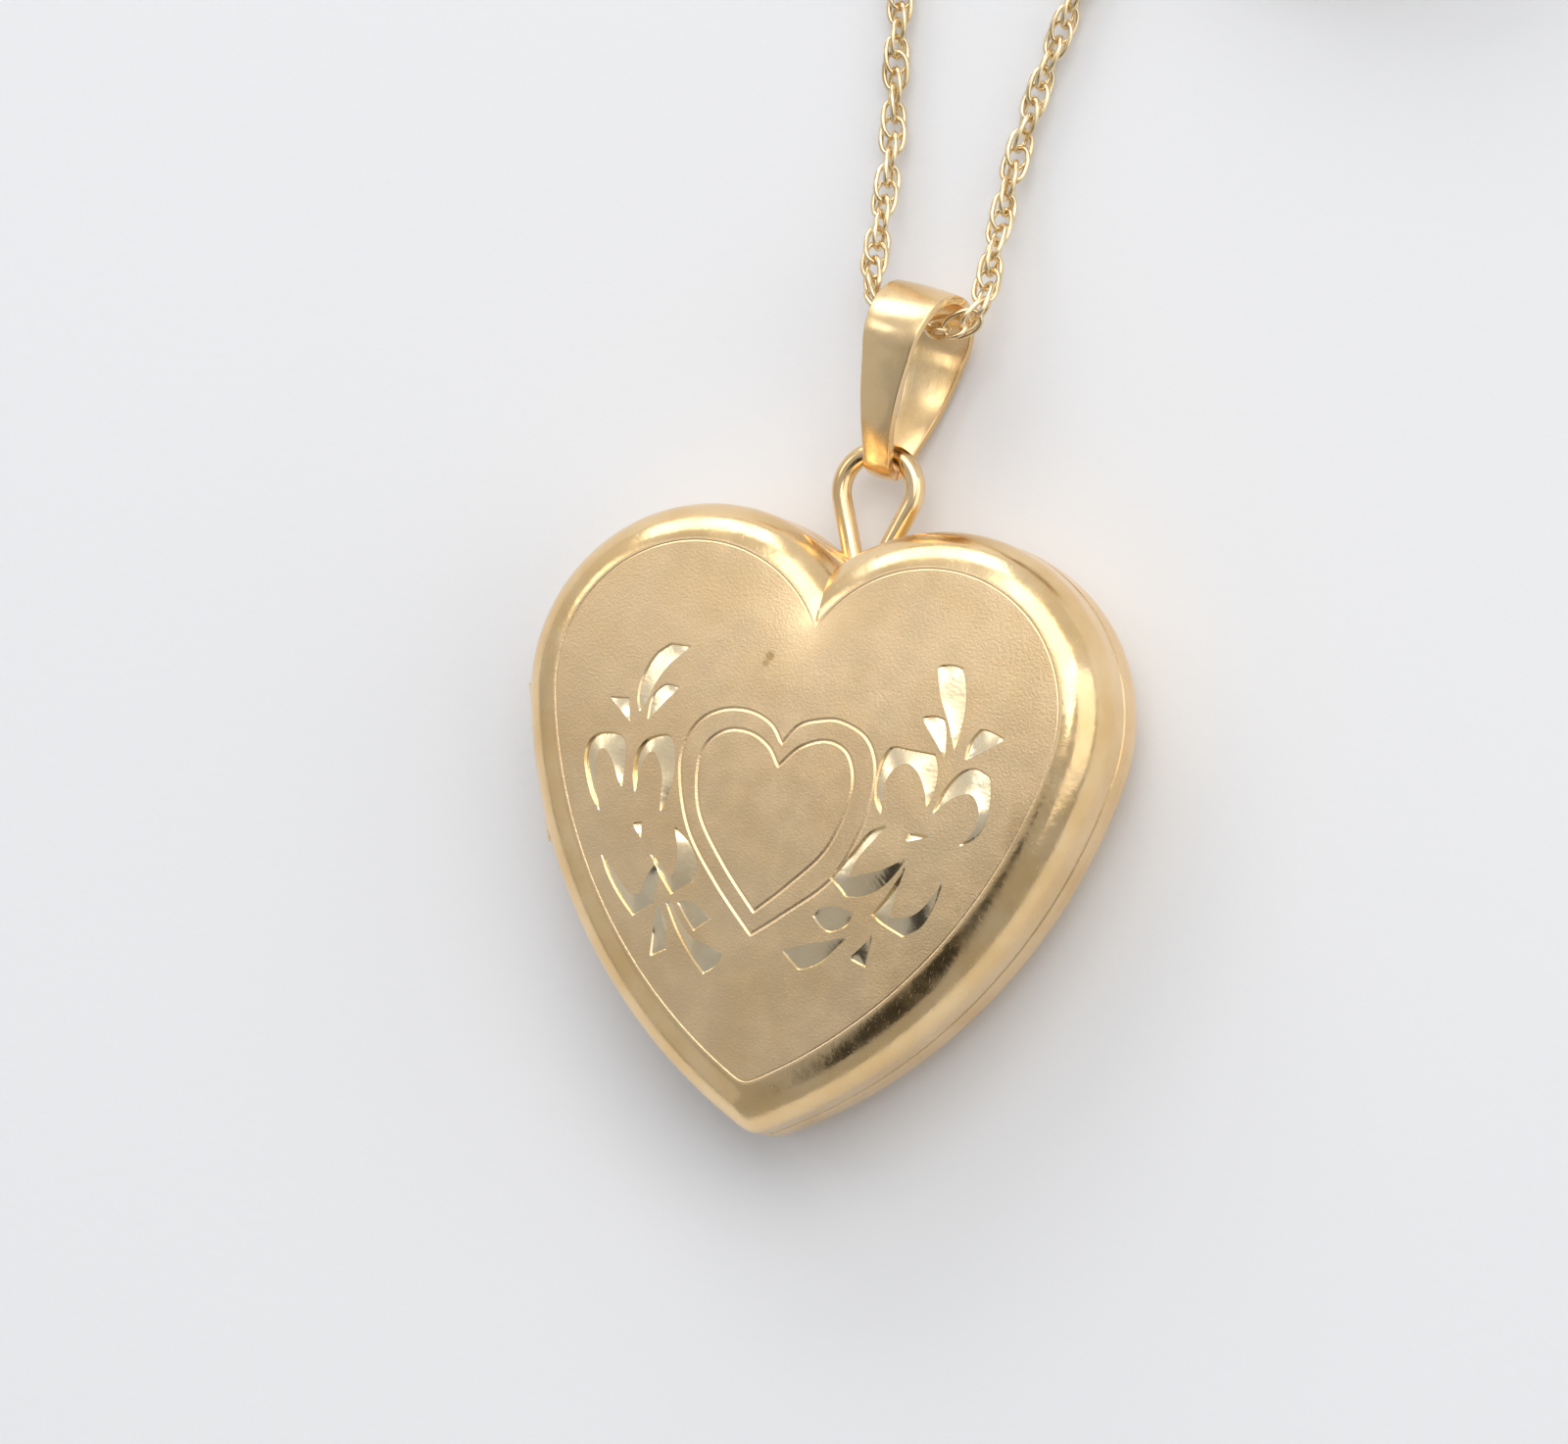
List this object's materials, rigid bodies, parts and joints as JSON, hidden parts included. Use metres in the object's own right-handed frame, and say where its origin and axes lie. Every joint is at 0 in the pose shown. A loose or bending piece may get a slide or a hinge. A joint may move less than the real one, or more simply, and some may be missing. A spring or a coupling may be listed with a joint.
{
  "type": "locket",
  "caption": "Heart-shaped hinged locket that opens on a side hinge, with frames for two pictures, a tapered bail on a wire loop and a fine rope chain with a spring-ring clasp.",
  "frame": {"origin": "on the flat in the middle of the back, the face the locket lies on", "axes": "+Z out of the engraved front, +Y from the heart's tip towards its cleft and the bail, +X to the right seen from the front"},
  "size_m": [0.0303, 0.0551, 0.0051],
  "materials": {
    "polished_gold": "polished rolled gold, fine scratches",
    "satin_gold": "satin face with bright-cut engraving and a polished rolled edge",
    "gold_wire": "polished round wire",
    "bail_gold": "polished folded band",
    "chain_gold": "fine drawn wire links",
    "frame_brass": "pressed thin sheet, half bright",
    "spring_steel": "bright",
    "clear_film": "clear thin sheet",
    "blank_card": "plain matte card"
  },
  "bodies": {
    "back": {"back_shell": "polished_gold", "snap_rim": "frame_brass", "back_photo_frame": "frame_brass", "back_window": "clear_film", "back_photo": "blank_card", "back_knuckles": "gold_wire", "hinge_pin": "frame_brass", "bail_loop": "gold_wire"},
    "cover": {"front_cover": "satin_gold", "cover_photo_frame": "frame_brass", "cover_window": "clear_film", "cover_photo": "blank_card", "cover_knuckle": "gold_wire"},
    "bail": {"bail": "bail_gold"},
    "chain": {"chain_strands": "chain_gold", "chain_coil": "chain_gold", "clasp_jump_ring": "gold_wire", "clasp_eye": "gold_wire", "clasp_ring": "gold_wire", "clasp_spring": "spring_steel", "chain_end_ring": "gold_wire"},
    "bolt": {"clasp_bolt": "gold_wire"}
  },
  "joints": [
    {"name": "cover_hinge", "type": "hinge", "parent": "back", "child": "cover", "pos_m": [-0.00896, -0.00117, 0.00255], "axis": [0.2924, -0.9563, 0], "range_deg": [0, 170]},
    {"name": "bail_swing", "type": "hinge", "parent": "back", "child": "bail", "pos_m": [0.00017, 0.00969, 0.00145], "axis": [0.9779, -0.157, 0.1378], "range_deg": [0, 100]},
    {"name": "chain_in_bail", "type": "hinge", "parent": "bail", "child": "chain", "pos_m": [0.00074, 0.01374, 0.00202], "axis": [0.9779, -0.157, 0.1378], "range_deg": [-100, 0]},
    {"name": "clasp_slide", "type": "hinge", "parent": "chain", "child": "bolt", "pos_m": [-0.00392, 0.03212, 0.00075], "axis": [0, 0, 1], "range_deg": [0, 58], "stiffness_Nm_per_rad": 0.002, "springref_deg": -17.19}
  ],
  "couplings": [
    {"joint": "chain_in_bail", "follows": "bail_swing", "ratio": -1}
  ]
}
